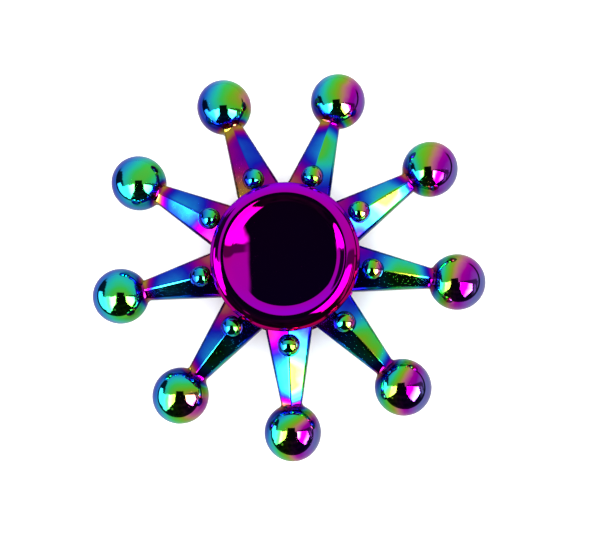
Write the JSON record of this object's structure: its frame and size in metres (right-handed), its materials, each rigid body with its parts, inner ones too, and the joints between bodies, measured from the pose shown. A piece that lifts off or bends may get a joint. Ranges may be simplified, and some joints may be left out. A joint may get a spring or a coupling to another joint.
{
  "type": "fidget spinner",
  "caption": "Metal fidget spinner: a star of ball-tipped arms on a shielded ball bearing, held by two dished thumb caps.",
  "frame": {"origin": "centre of the ball bearing: on the spin axis, halfway between the two thumb caps", "axes": "+Z along the spin axis, out of the upper thumb cap; one arm points along -Y"},
  "size_m": [0.069, 0.0682, 0.0136],
  "materials": {
    "rainbow_plating": "polished and cast zinc under a multicoloured interference coating",
    "bead_plating": "mirror polished under a multicoloured interference coating",
    "magenta_plating": "mirror polished under a magenta to violet interference coating",
    "bearing_steel": "ground bearing steel",
    "pressed_steel": "pressed mild steel"
  },
  "bodies": {
    "held_hub": {"upper_cap": "magenta_plating", "lower_cap": "magenta_plating", "bearing_inner_ring": "bearing_steel"},
    "spinner": {"frame": "rainbow_plating", "upper_bead_1": "bead_plating", "upper_bead_2": "bead_plating", "upper_bead_3": "bead_plating", "upper_bead_4": "bead_plating", "upper_bead_5": "bead_plating", "upper_bead_6": "bead_plating", "upper_bead_7": "bead_plating", "upper_bead_8": "bead_plating", "upper_bead_9": "bead_plating", "lower_bead_1": "bead_plating", "lower_bead_2": "bead_plating", "lower_bead_3": "bead_plating", "lower_bead_4": "bead_plating", "lower_bead_5": "bead_plating", "lower_bead_6": "bead_plating", "lower_bead_7": "bead_plating", "lower_bead_8": "bead_plating", "lower_bead_9": "bead_plating", "bearing_outer_ring": "bearing_steel", "upper_shield": "pressed_steel", "lower_shield": "pressed_steel"},
    "cage": {"cage_upper_half": "pressed_steel", "cage_lower_half": "pressed_steel", "cage_rivet_1": "pressed_steel", "cage_rivet_2": "pressed_steel", "cage_rivet_3": "pressed_steel", "cage_rivet_4": "pressed_steel", "cage_rivet_5": "pressed_steel", "cage_rivet_6": "pressed_steel", "cage_rivet_7": "pressed_steel"},
    "ball_1": {"bearing_ball_1": "bearing_steel"},
    "ball_2": {"bearing_ball_2": "bearing_steel"},
    "ball_3": {"bearing_ball_3": "bearing_steel"},
    "ball_4": {"bearing_ball_4": "bearing_steel"},
    "ball_5": {"bearing_ball_5": "bearing_steel"},
    "ball_6": {"bearing_ball_6": "bearing_steel"},
    "ball_7": {"bearing_ball_7": "bearing_steel"}
  },
  "joints": [
    {"name": "frame_spin", "type": "hinge", "parent": "held_hub", "child": "spinner", "pos_m": [0, 0, 0], "axis": [0, 0, 1], "continuous": true},
    {"name": "cage_spin", "type": "hinge", "parent": "held_hub", "child": "cage", "pos_m": [0, 0, 0], "axis": [0, 0, 1], "continuous": true},
    {"name": "ball_1_spin", "type": "hinge", "parent": "cage", "child": "ball_1", "pos_m": [0.0075, 0, 0], "axis": [0, 0, 1], "continuous": true},
    {"name": "ball_2_spin", "type": "hinge", "parent": "cage", "child": "ball_2", "pos_m": [0.00468, 0.00586, 0], "axis": [0, 0, 1], "continuous": true},
    {"name": "ball_3_spin", "type": "hinge", "parent": "cage", "child": "ball_3", "pos_m": [-0.00167, 0.00731, 0], "axis": [0, 0, 1], "continuous": true},
    {"name": "ball_4_spin", "type": "hinge", "parent": "cage", "child": "ball_4", "pos_m": [-0.00676, 0.00325, 0], "axis": [0, 0, 1], "continuous": true},
    {"name": "ball_5_spin", "type": "hinge", "parent": "cage", "child": "ball_5", "pos_m": [-0.00676, -0.00325, 0], "axis": [0, 0, 1], "continuous": true},
    {"name": "ball_6_spin", "type": "hinge", "parent": "cage", "child": "ball_6", "pos_m": [-0.00167, -0.00731, 0], "axis": [0, 0, 1], "continuous": true},
    {"name": "ball_7_spin", "type": "hinge", "parent": "cage", "child": "ball_7", "pos_m": [0.00468, -0.00586, 0], "axis": [0, 0, 1], "continuous": true}
  ],
  "couplings": [
    {"joint": "cage_spin", "follows": "frame_spin", "ratio": 0.6323},
    {"joint": "ball_1_spin", "follows": "frame_spin", "ratio": 1.7573},
    {"joint": "ball_2_spin", "follows": "frame_spin", "ratio": 1.7573},
    {"joint": "ball_3_spin", "follows": "frame_spin", "ratio": 1.7573},
    {"joint": "ball_4_spin", "follows": "frame_spin", "ratio": 1.7573},
    {"joint": "ball_5_spin", "follows": "frame_spin", "ratio": 1.7573},
    {"joint": "ball_6_spin", "follows": "frame_spin", "ratio": 1.7573},
    {"joint": "ball_7_spin", "follows": "frame_spin", "ratio": 1.7573}
  ]
}
